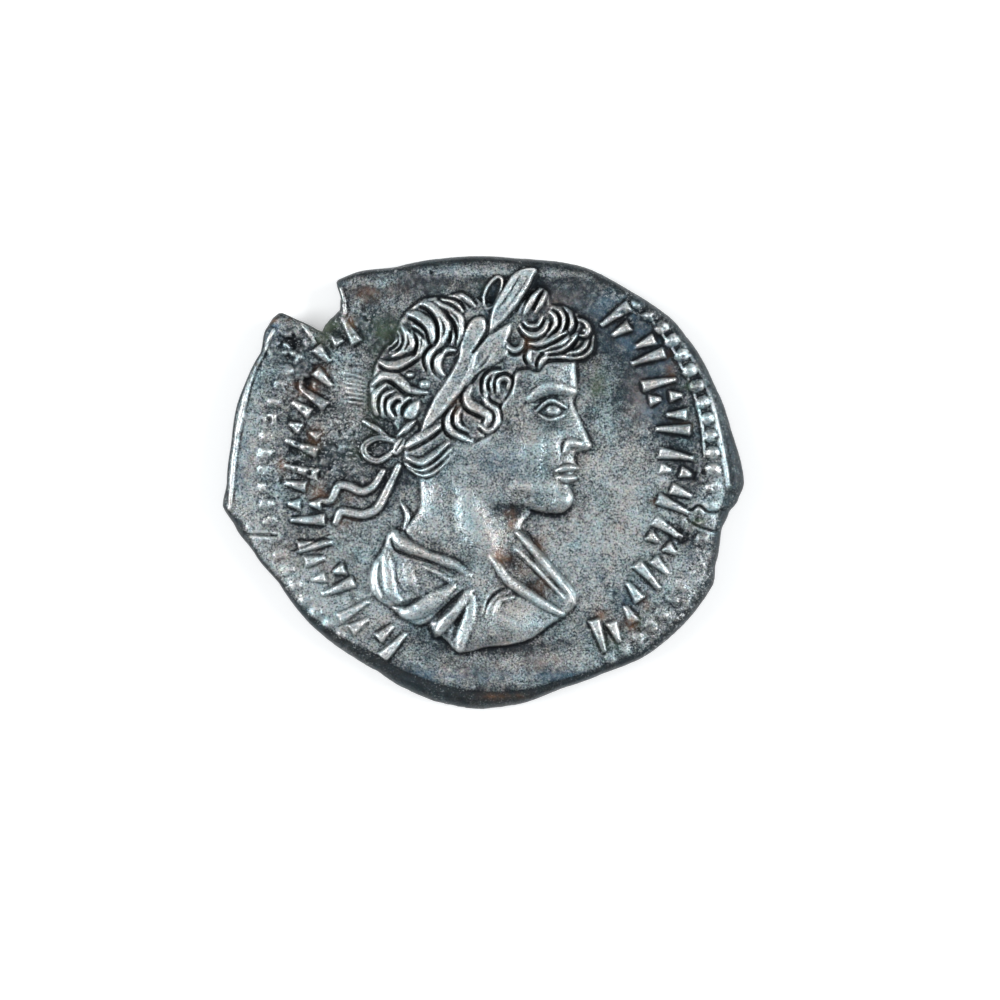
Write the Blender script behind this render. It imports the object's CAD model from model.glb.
# A struck silver coin on a plain pale floor, seen from straight above.
# The drawing is in millimetres from the middle of the coin, X right and Y up the portrait.
# It becomes metres when the mesh is made. Every struck surface is a height over a flat plane.

import math

import bpy
import numpy as np
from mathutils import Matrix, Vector, geometry


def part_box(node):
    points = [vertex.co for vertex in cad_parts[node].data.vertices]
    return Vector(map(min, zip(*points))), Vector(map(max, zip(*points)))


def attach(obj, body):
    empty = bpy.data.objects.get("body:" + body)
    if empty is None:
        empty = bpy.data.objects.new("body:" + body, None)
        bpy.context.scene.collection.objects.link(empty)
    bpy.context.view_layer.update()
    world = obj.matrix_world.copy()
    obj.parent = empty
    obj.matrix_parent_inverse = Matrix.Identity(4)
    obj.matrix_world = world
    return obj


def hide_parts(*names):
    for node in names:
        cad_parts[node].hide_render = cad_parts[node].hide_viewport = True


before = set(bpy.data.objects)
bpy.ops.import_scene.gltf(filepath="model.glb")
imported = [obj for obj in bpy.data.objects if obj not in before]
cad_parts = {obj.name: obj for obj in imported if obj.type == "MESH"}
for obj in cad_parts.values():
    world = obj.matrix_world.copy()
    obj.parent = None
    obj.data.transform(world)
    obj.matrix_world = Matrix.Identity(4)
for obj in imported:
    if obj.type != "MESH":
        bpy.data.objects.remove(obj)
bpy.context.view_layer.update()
mm = 0.001

coinLow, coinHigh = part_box("coin")

flan = {
    "length": (coinHigh[0] - coinLow[0]) / mm,  # the wide way, from the solid
    "breadth": (coinHigh[1] - coinLow[1]) / mm,
    "thickness": 1.10,  # field to field
    "reverseRelief": 0.22,  # also the height of the reverse field over the floor
    "girth": 0.42,  # height of the widest line, as a share of the thickness
    "rimSlope": 0.30,
    "reverseSlope": 0.35,
    "edgeFall": 0.08,
    "edgeFallWidth": 0.60,
    "splitDepth": 1.35,
    "splitFrom": 125.8,  # degrees, counter-clockwise from +X
    "splitTo": 140.2,
    "splitTorn": 0.82,
}

# Flan edge: degrees, share of an ellipse of the coin's size, slope in rimSlopes
flanEdge = np.array([
    (0, 0.996, 1.9), (12, 0.975, 1.3), (22, 0.982, 1.1), (35, 1.008, 1.0), (41, 1.021, 1.0),
    (52, 1.018, 1.0), (65, 1.030, 0.9), (82, 1.003, 0.9), (98, 1.008, 0.9), (112, 1.016, 0.8),
    (122, 1.058, 0.7), (132, 1.072, 0.6), (142, 1.094, 0.6), (145, 1.082, 0.4), (150, 1.036, 0.4),
    (160, 1.017, 0.35), (172, 0.989, 0.35), (180, 0.991, 0.35), (185, 1.012, 0.5),
    (190, 0.978, 1.2), (197, 0.938, 0.5), (206, 0.907, 0.5), (220, 0.918, 0.9), (232, 0.922, 1.4),
    (240, 0.930, 1.6), (248, 0.960, 1.9), (258, 0.988, 2.1), (268, 1.002, 2.1), (278, 0.990, 1.6),
    (291, 0.957, 0.9), (301, 0.958, 0.8), (314, 0.985, 0.9), (327, 0.988, 1.1), (336, 0.985, 1.3),
    (341, 0.955, 1.0), (349, 0.932, 0.9), (353, 0.946, 1.3), (356, 0.975, 2.0), (360, 0.996, 1.9),
])
# Split: share of the way across, depth and torn slope as shares
splitShape = np.array([
    (0.0, 0.0, 0.0), (0.05, 0.05, 0.05), (0.16, 0.56, 0.15), (0.30, 0.84, 0.25),
    (0.50, 0.92, 0.75), (0.64, 1.00, 1.0), (0.79, 1.15, 0.40), (0.88, 0.62, 0.10), (1.0, 0.0, 0.0),
])


# Curves and fields

def smoothPath(points, closed=False, steps=6):
    # Catmull-Rom: each stretch is the cubic through its two ends that leaves them along the line
    # between their neighbours.
    p = np.array(points, float)
    if closed:
        p = np.vstack([p[-1:], p, p[:2]])
    else:
        p = np.vstack([2 * p[0] - p[1], p, 2 * p[-1] - p[-2]])
    t = np.linspace(0, 1, steps, endpoint=False)[None, :, None]
    a, b, c, d = (p[i : len(p) - 3 + i, None, :] for i in range(4))
    curve = 0.5 * (
        2 * b + (c - a) * t + (2 * a - 5 * b + 4 * c - d) * t**2 + (3 * b - a - 3 * c + d) * t**3
    )
    curve = curve.reshape(-1, 2)
    return curve if closed else np.vstack([curve, p[-2:-1]])


def easedTable(table, key, column):
    # Between two rows the value goes half straight and half along a smooth step.
    i = np.clip(np.searchsorted(table[:, 0], key, "right") - 1, 0, len(table) - 2)
    share = np.clip((key - table[i, 0]) / (table[i + 1, 0] - table[i, 0]), 0, 1)
    ease = 0.5 * share + 0.5 * share * share * (3 - 2 * share)
    return table[i, column] + (table[i + 1, column] - table[i, column]) * ease


def edgeRadii(degrees):
    # An ellipse times the edge table, less the split: the widest line, the obverse face, the
    # reverse face.
    turn = np.mod(degrees, 360)
    angle = np.radians(turn)
    a, b = flan["length"] / 2, flan["breadth"] / 2
    oval = a * b / np.hypot(b * np.cos(angle), a * np.sin(angle))
    way = (turn - flan["splitFrom"]) / (flan["splitTo"] - flan["splitFrom"])
    inSplit = (way > 0) & (way < 1)
    depth = np.where(inSplit, easedTable(splitShape, way, 1), 0) * flan["splitDepth"]
    torn = np.where(inSplit, easedTable(splitShape, way, 2), 0) * flan["splitTorn"]
    girth = oval * easedTable(flanEdge, turn, 1) - depth
    slope = flan["rimSlope"] * easedTable(flanEdge, turn, 2)
    return girth, girth - np.maximum(slope, torn), girth - flan["reverseSlope"]


canvas = {"halfX": 10.5, "halfY": 9.2, "step": 0.035}
xs = np.arange(-canvas["halfX"], canvas["halfX"], canvas["step"])
ys = np.arange(-canvas["halfY"], canvas["halfY"], canvas["step"])
gridX, gridY = np.meshgrid(xs, ys)


def window(path, margin):
    # The rows and columns of the canvas round a path.
    low = path.min(0) - margin
    high = path.max(0) + margin
    rows = slice(*np.searchsorted(ys, (low[1], high[1])))
    cols = slice(*np.searchsorted(xs, (low[0], high[0])))
    return rows, cols


def nearest(x, y, path):
    # Distance to the nearest stretch of a path, above zero on its left and below on its right, and
    # the share of the path run by then.
    best = np.full(x.shape, 1e9)
    along = np.zeros(x.shape)
    side = np.ones(x.shape)
    for i, (a, b) in enumerate(zip(path[:-1], path[1:])):
        run = b - a
        t = ((x - a[0]) * run[0] + (y - a[1]) * run[1]) / max(run @ run, 1e-12)
        t = np.clip(t, 0, 1)
        gap = np.hypot(x - a[0] - t * run[0], y - a[1] - t * run[1])
        nearer = gap < best
        best[nearer] = gap[nearer]
        along[nearer] = (i + t[nearer]) / (len(path) - 1)
        cross = run[0] * (y - a[1]) - run[1] * (x - a[0])
        side[nearer] = np.where(cross < 0, -1, 1)[nearer]
    return best * side, along


def softNoise(x, y, size, seed, octaves=1):
    # Seeded random numbers on a square lattice, joined by a smooth step both ways. Each octave is
    # turned, half as large and half as strong.
    table = np.random.default_rng(seed).uniform(-1, 1, (256, 256))
    total = np.zeros(np.shape(x))
    strength = 1.0
    for octave in range(octaves):
        c, s = math.cos(0.6 + octave), math.sin(0.6 + octave)
        u = (c * x - s * y) / size + 500.0 + 17 * octave
        v = (s * x + c * y) / size + 500.0 + 31 * octave
        i, j = np.floor(u).astype(int), np.floor(v).astype(int)
        f, g = u - i, v - j
        f, g = f * f * (3 - 2 * f), g * g * (3 - 2 * g)
        a, b = table[i % 256, j % 256], table[(i + 1) % 256, j % 256]
        c, d = table[i % 256, (j + 1) % 256], table[(i + 1) % 256, (j + 1) % 256]
        total += strength * ((a * (1 - f) + b * f) * (1 - g) + (c * (1 - f) + d * f) * g)
        strength *= 0.5
        size *= 0.5
    return total


def waves(row, stretch=1.0):
    # Noise over the whole canvas, from a row of height, size, seed and octaves.
    height, size, seed, octaves = row
    return height * softNoise(gridX / stretch, gridY, size, seed, octaves)


def pits(row):
    # Only what stands over a level counts, from a row of depth, level, size and seed.
    depth, level, size, seed = row
    return depth * np.clip(softNoise(gridX, gridY, size, seed, 3) - level, 0, 1)


def softened(layer, size):
    # A Gaussian blur of this radius in millimetres, by way of the Fourier transform.
    fy = np.fft.fftfreq(layer.shape[0], canvas["step"])[:, None]
    fx = np.fft.rfftfreq(layer.shape[1], canvas["step"])[None, :]
    keep = np.exp(-2 * (math.pi * size) ** 2 * (fx**2 + fy**2))
    return np.fft.irfft2(np.fft.rfft2(layer) * keep, layer.shape)


def sample(layer, x, y):
    # Straight-line reading between the four canvas points round each place.
    u = np.clip((x - xs[0]) / canvas["step"], 0, len(xs) - 1.001)
    v = np.clip((y - ys[0]) / canvas["step"], 0, len(ys) - 1.001)
    i, j = u.astype(int), v.astype(int)
    f, g = u - i, v - j
    low = layer[j, i] * (1 - f) + layer[j, i + 1] * f
    high = layer[j + 1, i] * (1 - f) + layer[j + 1, i + 1] * f
    return low * (1 - g) + high * g


def patches(spots):
    # Soft round patches: a bell over each centre, as wide and as tall as given, added up.
    total = np.zeros(gridX.shape)
    for x, y, wide, tall, strength in spots:
        total += strength * np.exp(-(((gridX - x) / wide) ** 2) - ((gridY - y) / tall) ** 2)
    return total


# Carving

def stroke(points, width, rise, ends=0.7, section="round"):
    return smoothPath(points), width, rise, ends, section


def fan(count, width, rise, first, last, ends=0.7, section="round"):
    # Strokes that pass from the first curve to the last in even steps.
    first, last = np.array(first, float), np.array(last, float)
    return [
        stroke(first + (last - first) * share, width, rise, ends, section)
        for share in np.linspace(0, 1, count)
    ]


profile = {
    "margin": 0.15,  # canvas round a stroke, past its width
    "lipSteep": 0.10, "grooveAway": 0.14, "grooveWidth": 0.15,
    "flatMiddle": 0.88, "flatLift": 0.12,  # a flat top stands a little higher at its sides
    "splitWidth": 0.28, "splitDepth": 0.45,
    "squareEnd": 0.08,
}


def carved(strokes):
    # The highest of all strokes over each place. Across a stroke the height is a half round, a flat
    # top, two crests with a groove between, or a lip: steep on the left of the path, and falling
    # off slowly over a full width on its right. Along it, it swells in the middle. A wedge is flat
    # too, but widens evenly from its first end to its last, and both ends are cut square.
    layer = np.zeros(gridX.shape)
    for path, width, rise, ends, section in strokes:
        rows, cols = window(path, width + profile["margin"])
        gap, along = nearest(gridX[rows, cols], gridY[rows, cols], path)
        taper = 1 - ends * (2 * along - 1) ** 2
        if section == "wedge":
            taper = 1 + ends * (2 * along - 1)
        u = np.clip(2 * np.abs(gap) / (width * taper), 0, 1)
        if section == "lip":
            left = np.clip(gap / (profile["lipSteep"] * taper), 0, 1)
            right = np.clip(-gap / (width * taper), 0, 1)
            across = np.where(gap > 0, (1 - left**2) ** 0.75, 1 - 0.4 * right - 0.6 * right**5)
        elif section in ("flat", "wedge"):
            across = (1 - u**4) * (profile["flatMiddle"] + profile["flatLift"] * u)
            across /= np.maximum(taper, 1)
        elif section == "split":
            groove = profile["splitDepth"] * np.exp(-((u / profile["splitWidth"]) ** 2))
            across = np.sqrt(1 - u**2) * (1 - groove)
        else:
            across = (1 - u**2) ** 0.75
        if section == "wedge":
            length = np.hypot(*(path[-1] - path[0]))
            ahead = (path[-1] - path[0]) / length
            place = (gridX[rows, cols] - path[0][0]) * ahead[0]
            place = place + (gridY[rows, cols] - path[0][1]) * ahead[1]
            across *= np.clip(1 - np.maximum(place - length, -place) / profile["squareEnd"], 0, 1)
        layer[rows, cols] = np.maximum(layer[rows, cols], rise * taper * across)
    return layer


def grooves(strokes, depth):
    # A narrow cut on the left of each path, at an even distance from it.
    cuts = []
    for path, width, rise, ends, section in strokes:
        run = np.gradient(path, axis=0)
        run /= np.maximum(np.hypot(*run.T), 1e-9)[:, None]
        left = np.stack([-run[:, 1], run[:, 0]], 1)
        cuts.append((path + profile["grooveAway"] * left, profile["grooveWidth"], depth, 0.5, "round"))
    return carved(cuts)


def mass(outline, step, stepEdge, dome=0.0, domeEdge=1.0):
    # Inside a closed outline: a quarter-round step at its edge, and a wide quarter-round dome.
    path = smoothPath(outline, closed=True)
    loop = np.vstack([path, path[:1]])
    rows, cols = window(path, 0.1)
    x, y = gridX[rows, cols], gridY[rows, cols]
    inside = np.zeros(x.shape, bool)
    for a, b in zip(loop[:-1], loop[1:]):
        if a[1] != b[1]:
            crossing = (a[1] > y) != (b[1] > y)
            inside ^= crossing & (x < a[0] + (y - a[1]) * (b[0] - a[0]) / (b[1] - a[1]))
    gap = np.abs(nearest(x, y, loop)[0])
    near = np.clip(gap / stepEdge, 0, 1)
    far = np.clip(gap / domeEdge, 0, 1)
    height = step * np.sqrt(1 - (1 - near) ** 2) + dome * np.sqrt(1 - (1 - far) ** 2)
    layer = np.zeros(gridX.shape)
    layer[rows, cols] = np.where(inside, height, 0)
    return layer


# Portrait. Each part is a layer, and the highest layer shows.

hair = {
    "outline": (
        (-3.0, 0.55), (-3.15, 1.3), (-3.55, 2.3), (-4.25, 2.6), (-4.4, 3.6), (-4.3, 4.1),
        (-4.1, 4.7), (-3.75, 5.25), (-3.42, 5.7), (-3.25, 6.2), (-2.9, 6.65), (-2.3, 7.0),
        (-1.5, 7.15), (-0.8, 7.32), (-0.3, 7.05), (0.3, 6.9), (1.3, 7.0), (1.9, 7.5), (2.4, 7.35),
        (2.55, 6.85), (3.1, 6.75), (3.6, 6.4), (4.1, 5.95), (4.2, 5.3), (4.0, 4.82), (3.5, 4.66),
        (2.9, 4.64), (2.35, 4.58), (2.05, 4.25), (1.6, 4.35), (1.15, 4.2), (1.0, 3.5),
        (0.6, 2.9), (0.62, 2.3), (0.2, 1.85), (-0.6, 1.45), (-1.2, 1.0), (-2.1, 0.2),
    ),
    "step": 0.13, "stepEdge": 0.22, "dome": 0.08, "domeEdge": 1.3, "groove": 0.15,
    # Locks as crest lines, with the steep side on the left: width, rise, points
    "locks": [
        # back of the head, a nest of crescents
        (0.16, 0.17, (-3.55, 5.2), (-3.4, 5.38), (-3.3, 5.6)),
        (0.16, 0.17, (-3.6, 4.98), (-3.32, 5.15), (-3.18, 5.4), (-3.2, 5.75)),
        (0.22, 0.24, (-3.5, 4.87), (-3.2, 5.02), (-3.02, 5.3), (-3.02, 5.65), (-3.17, 5.95)),
        (0.18, 0.15, (-2.95, 5.0), (-2.8, 5.3), (-2.83, 5.7)),
        (0.22, 0.24, (-2.62, 4.8), (-2.5, 5.05), (-2.45, 5.4), (-2.6, 5.8)),
        (0.16, 0.18, (-2.36, 5.0), (-2.3, 5.3), (-2.3, 5.6)),
        (0.34, 0.25, (-2.02, 5.35), (-2.08, 5.65), (-2.17, 5.9), (-2.4, 6.15), (-2.65, 6.33),
         (-2.9, 6.42)),
        (0.12, 0.16, (-2.2, 5.6), (-2.4, 5.82), (-2.7, 6.02)),
        (0.30, 0.28, (-1.88, 5.18), (-1.7, 5.42), (-1.66, 5.8), (-1.72, 6.2), (-1.9, 6.5),
         (-2.15, 6.73), (-2.45, 6.86)),
        (0.16, 0.20, (-1.55, 5.45), (-1.43, 5.75), (-1.47, 6.1), (-1.62, 6.4)),
        (0.24, 0.25, (-1.05, 5.32), (-0.96, 5.6), (-0.99, 6.0), (-1.12, 6.28), (-1.35, 6.52)),
        (0.14, 0.18, (-1.25, 5.3), (-1.18, 5.55), (-1.2, 5.8)),
        (0.14, 0.18, (-0.86, 5.8), (-0.88, 6.1), (-1.0, 6.4), (-1.25, 6.62)),
        (0.20, 0.22, (-2.1, 4.3), (-2.18, 4.55), (-2.2, 4.8), (-2.05, 5.05), (-1.85, 5.2)),
        (0.26, 0.22, (-1.6, 4.1), (-1.82, 4.32), (-1.88, 4.6), (-1.75, 4.85), (-1.5, 4.97)),
        (0.14, 0.18, (-1.12, 5.06), (-1.4, 5.06), (-1.62, 4.95)),
        (0.20, 0.22, (-1.68, 7.0), (-1.3, 6.92), (-1.05, 6.8), (-0.86, 6.58)),
        (0.18, 0.20, (-0.9, 7.2), (-0.62, 7.02), (-0.4, 6.76)),
        (0.16, 0.16, (-1.9, 6.95), (-1.6, 6.78), (-1.3, 6.66), (-1.05, 6.45)),
        (0.12, 0.12, (-2.7, 6.72), (-2.3, 6.98), (-1.8, 7.08)),
        (0.30, 0.26, (-2.62, 4.8), (-2.95, 4.6), (-3.3, 4.42), (-3.7, 4.42), (-4.02, 4.6)),
        (0.32, 0.26, (-2.3, 3.42), (-2.9, 3.5), (-3.2, 3.72), (-3.5, 3.95), (-3.85, 4.02),
         (-4.25, 3.75)),
        (0.20, 0.20, (-3.8, 3.72), (-4.12, 3.4), (-4.2, 3.0), (-4.12, 2.6)),
        (0.16, 0.17, (-3.5, 3.5), (-3.85, 3.3), (-3.95, 2.95), (-3.88, 2.55)),
        (0.20, 0.20, (-3.1, 3.2), (-3.42, 3.25), (-3.68, 2.9), (-3.5, 2.5)),
        (0.14, 0.16, (-2.9, 3.28), (-3.25, 2.95), (-3.3, 2.6)),
        # nape
        (0.34, 0.25, (-1.69, 2.15), (-2.3, 1.72), (-3.0, 1.34)),
        (0.26, 0.23, (-1.42, 1.5), (-2.0, 0.95), (-2.48, 0.72), (-3.0, 0.94)),
        (0.14, 0.15, (-1.3, 1.28), (-1.9, 0.73), (-2.4, 0.5), (-2.95, 0.76)),
        (0.24, 0.22, (-1.16, 1.05), (-1.8, 0.46), (-2.35, 0.26), (-2.95, 0.58)),
        # over the ear
        (0.30, 0.25, (-0.56, 1.58), (-0.95, 1.72), (-1.38, 2.0), (-1.46, 2.4), (-1.29, 2.8)),
        (0.20, 0.22, (-0.65, 1.95), (-1.05, 2.2), (-1.1, 2.55), (-0.95, 2.85)),
        (0.34, 0.23, (0.0, 2.25), (0.06, 2.5), (-0.2, 2.68), (-0.62, 2.9), (-0.78, 3.3),
         (-0.6, 3.7)),
        (0.22, 0.24, (-0.05, 3.4), (0.15, 3.02), (0.48, 2.82), (0.6, 2.45), (0.45, 2.05),
         (0.1, 1.95), (-0.15, 2.15)),
        (0.18, 0.23, (0.1, 3.3), (0.0, 3.6), (0.07, 4.0), (0.35, 4.22), (0.62, 4.26)),
        (0.12, 0.18, (0.28, 3.5), (0.25, 3.8), (0.42, 4.08)),
        (0.16, 0.23, (0.5, 3.45), (0.5, 3.88), (0.75, 4.03), (0.95, 3.88), (0.9, 3.6)),
        # front, rolled back off the forehead
        (0.22, 0.22, (1.5, 6.5), (1.78, 7.05), (2.1, 7.38)),
        (0.12, 0.15, (1.32, 6.5), (1.5, 6.85), (1.8, 7.28)),
        (0.16, 0.20, (1.95, 6.55), (2.15, 6.95), (2.33, 7.3)),
        (0.28, 0.27, (2.42, 6.15), (2.3, 5.85), (1.95, 5.6), (1.6, 5.68), (1.35, 5.98)),
        (0.14, 0.18, (2.2, 6.35), (2.0, 6.0), (1.7, 5.98), (1.5, 6.15)),
        (0.14, 0.22, (2.48, 6.55), (2.68, 6.35), (2.72, 6.05), (2.5, 5.8), (2.2, 5.55)),
        (0.14, 0.18, (2.85, 6.65), (3.02, 6.3), (2.95, 5.95), (2.8, 5.78)),
        (0.14, 0.18, (3.25, 6.5), (3.35, 6.1), (3.25, 5.8)),
        (0.24, 0.25, (3.05, 5.76), (2.6, 5.48), (2.1, 5.27), (1.68, 5.3)),
        (0.12, 0.18, (3.2, 5.62), (2.9, 5.33), (2.5, 5.2), (2.1, 5.12)),
        (0.26, 0.25, (3.5, 5.64), (3.22, 5.3), (2.8, 5.05), (2.2, 5.0)),
        (0.14, 0.18, (3.95, 5.6), (3.85, 5.25), (3.6, 5.02), (3.2, 4.95)),
        (0.22, 0.25, (4.12, 5.42), (4.05, 5.08), (3.75, 4.83), (3.2, 4.76)),
        (0.16, 0.22, (3.5, 6.25), (3.85, 6.17), (4.0, 5.88), (3.88, 5.65), (3.65, 5.62)),
        (0.16, 0.20, (1.74, 4.55), (1.65, 4.82), (1.75, 5.12)),
        (0.20, 0.20, (2.1, 4.35), (2.15, 4.65), (2.4, 4.95)),
        (0.14, 0.15, (3.1, 4.78), (2.8, 4.82), (2.5, 4.78)),
        # a small roll at the leaf
        (0.16, 0.22, (1.48, 5.5), (1.4, 5.18), (1.15, 5.03), (0.9, 5.18), (0.78, 5.5)),
    ],
    "knobs": [(-2.85, 4.12, 0.12), (3.84, 5.82, 0.10), (1.12, 3.95, 0.10), (-2.3, 3.75, 0.2)],
}

thirdShare = 0.1623  # the face is set out by even thirds, as shares of the drawn height
chinShare = -0.0822
drawnHeight = 14.6
third = drawnHeight * thirdShare
chin = drawnHeight * chinShare
nose = chin + third
brow = nose + third
mouth = nose - third / 3
faceFront = (
    (3.20, 3.00), (3.46, 2.55), (3.52, 2.15), (3.54, 1.98), (3.40, 1.80), (3.70, 1.50),
    (4.02, 1.20), (4.10, 1.11), (3.95, 1.03), (3.52, 0.99), (3.44, 0.87), (3.60, 0.74),
    (3.42, 0.67), (3.54, 0.58), (3.28, 0.45), (3.40, 0.27), (3.20, 0.09), (2.75, 0.0),
)
face = {
    "outline": [(x, chin + thirds * third) for x, thirds in faceFront]
    + [(1.8, -1.05), (1.0, -0.7), (0.2, 0.2), (-0.6, 1.6), (-1.0, 3.0), (0.5, 5.2), (2.4, 5.9)],
    "step": 0.15, "stepEdge": 0.22, "dome": 0.19, "domeEdge": 1.7,
    "features": [
        stroke([(1.7, brow - 0.34), (2.45, brow + 0.08), (3.42, brow - 0.05)], 0.56, 0.15, 0.5),
        stroke([(1.95, brow - 0.82), (2.5, brow - 0.40), (3.1, brow - 0.66)], 0.19, 0.16, 0.5),
        stroke([(2.02, brow - 0.90), (2.5, brow - 1.12), (3.04, brow - 0.94)], 0.16, 0.11, 0.5),
        stroke([(2.54, brow - 0.76), (2.68, brow - 0.76)], 0.42, 0.15, 0.0),
        stroke([(3.08, nose + 0.06), (3.24, nose + 0.34), (3.64, nose + 0.32)], 0.38, 0.16, 0.3),
        stroke([(2.7, mouth + 0.05), (3.12, mouth + 0.20), (3.52, mouth + 0.17)], 0.27, 0.16, 0.6),
        stroke([(2.76, mouth - 0.13), (3.12, mouth - 0.24), (3.47, mouth - 0.19)], 0.31, 0.16, 0.6),
    ],
    "swells": [
        (2.0, 1.30, 0.85, 0.60, 0.15), (3.05, chin + 0.52, 0.46, 0.38, 0.14),
        (2.5, brow - 0.78, 0.80, 0.46, -0.17), (2.68, mouth, 0.22, 0.16, -0.09),
        (3.0, nose + 0.2, 0.15, 0.34, -0.09), (2.4, 4.1, 1.0, 0.6, 0.10),
        (2.35, nose - 0.45, 0.26, 0.62, -0.08), (1.3, -0.15, 1.0, 0.30, 0.10),
        (3.35, mouth - 0.47, 0.38, 0.13, -0.08), (2.55, brow - 1.38, 0.55, 0.14, -0.05),
        (1.0, 2.0, 0.5, 1.0, -0.05),
    ],
}

neck = {
    "outline": (
        (-2.4, 0.9), (-2.5, -0.9), (-3.05, -1.9), (-1.8, -3.0), (0.4, -3.4), (1.35, -2.5),
        (1.45, -1.6), (1.9, -0.8), (1.6, 0.8), (-0.8, 1.8),
    ),
    "step": 0.13, "stepEdge": 0.25, "dome": 0.19, "domeEdge": 1.5,
    "swells": [(0.5, -1.3, 0.6, 1.3, 0.05), (-1.75, -0.6, 0.45, 1.1, 0.06),
               (-1.3, -1.2, 0.4, 1.2, -0.06), (-0.4, 0.9, 1.2, 0.35, -0.05),
               (1.1, -1.05, 0.9, 0.32, -0.15)],
    # width, rise, points
    "cords": [
        (1.30, 0.15, (-1.0, -0.1), (-0.65, -1.0), (-0.15, -2.0), (0.4, -2.95)),
        (0.45, 0.06, (-2.0, 0.2), (-1.95, -0.8), (-2.3, -1.8)),
    ],
}

bust = {
    "outline": (
        (-3.65, -1.85), (-3.9, -2.5), (-4.35, -3.2), (-4.42, -4.0), (-4.15, -4.45), (-3.6, -4.8),
        (-3.1, -5.2), (-2.6, -5.45), (-2.15, -5.4), (-1.98, -5.75), (-1.55, -6.0), (-0.95, -6.5),
        (0.1, -6.3), (1.0, -6.2), (1.8, -5.95), (2.5, -5.45), (3.1, -5.05), (3.45, -4.7),
        (3.4, -4.3), (2.75, -3.35), (2.05, -2.45), (1.3, -1.75), (0.5, -2.3), (-1.0, -2.7),
        (-2.2, -2.5), (-3.1, -1.85),
    ),
    "step": 0.16, "stepEdge": 0.22, "dome": 0.13, "domeEdge": 1.1,
    # width, rise, points
    "folds": [
        (0.52, 0.16, (-3.5, -1.8), (-3.28, -2.2), (-2.8, -2.45), (-2.1, -2.68), (-1.2, -3.1),
         (-0.6, -3.5)),
        (0.26, 0.13, (-3.15, -0.8), (-2.95, -1.3), (-3.12, -1.85)),
        (0.36, 0.11, (-4.15, -3.0), (-4.26, -3.8), (-4.0, -4.4)),
        (0.56, 0.13, (-3.8, -2.6), (-3.72, -3.4), (-3.6, -4.1), (-3.25, -4.55)),
        (0.50, 0.07, (-3.0, -2.95), (-2.9, -3.6), (-2.6, -4.1)),
        (0.72, 0.18, (-3.15, -5.05), (-2.5, -4.85), (-1.9, -4.45), (-1.25, -3.95)),
        (0.26, 0.08, (-2.3, -3.2), (-1.7, -3.5), (-1.2, -3.85)),
        (0.62, 0.20, (-1.85, -5.8), (-1.45, -5.2), (-1.0, -4.7), (-0.58, -4.15)),
        (0.60, 0.15, (-0.98, -6.4), (-0.82, -5.7), (-0.6, -5.1), (-0.48, -4.4)),
        (0.44, 0.22, (-0.1, -2.4), (0.4, -3.0), (0.9, -3.7), (1.75, -4.3), (2.4, -4.72),
         (3.0, -5.05)),
        (0.42, 0.24, (1.2, -1.85), (1.95, -2.65), (2.7, -3.5), (3.3, -4.2), (3.4, -4.6)),
        (0.22, 0.12, (1.25, -2.55), (1.9, -3.2), (2.5, -3.85), (3.0, -4.4)),
        (0.24, 0.10, (0.35, -5.0), (0.6, -4.5), (1.1, -4.35)),
    ],
    "valleys": [
        (0.62, 0.13, (0.66, -2.6), (1.2, -3.15), (2.1, -3.95), (2.95, -4.65)),
        (0.20, 0.08, (0.95, -2.5), (1.5, -3.1), (2.3, -3.85), (3.05, -4.55)),
        (0.34, 0.16, (-2.15, -5.35), (-1.65, -4.98), (-1.2, -4.55), (-0.85, -4.15)),
        (0.15, 0.13, (-3.6, -2.15), (-3.42, -2.55), (-2.9, -2.78), (-2.1, -3.02), (-1.1, -3.5)),
        (0.16, 0.12, (-0.05, -5.1), (0.15, -4.5), (0.55, -4.12), (0.95, -4.02)),
        (0.26, 0.12, (-3.55, -4.7), (-3.0, -4.62), (-2.45, -4.38)),
        (0.20, 0.06, (-4.0, -2.9), (-4.02, -3.6), (-3.88, -4.25)),
        (0.30, 0.08, (-1.25, -6.0), (-1.05, -5.4), (-0.78, -4.75)),
        (0.16, 0.05, (-3.4, -3.05), (-3.35, -3.7), (-3.0, -4.25)),
    ],
    "swells": [
        (0.9, -5.3, 1.0, 0.65, 0.14), (-2.6, -3.7, 0.9, 0.6, 0.06), (-0.2, -3.7, 0.6, 0.5, 0.05),
    ],
}

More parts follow.
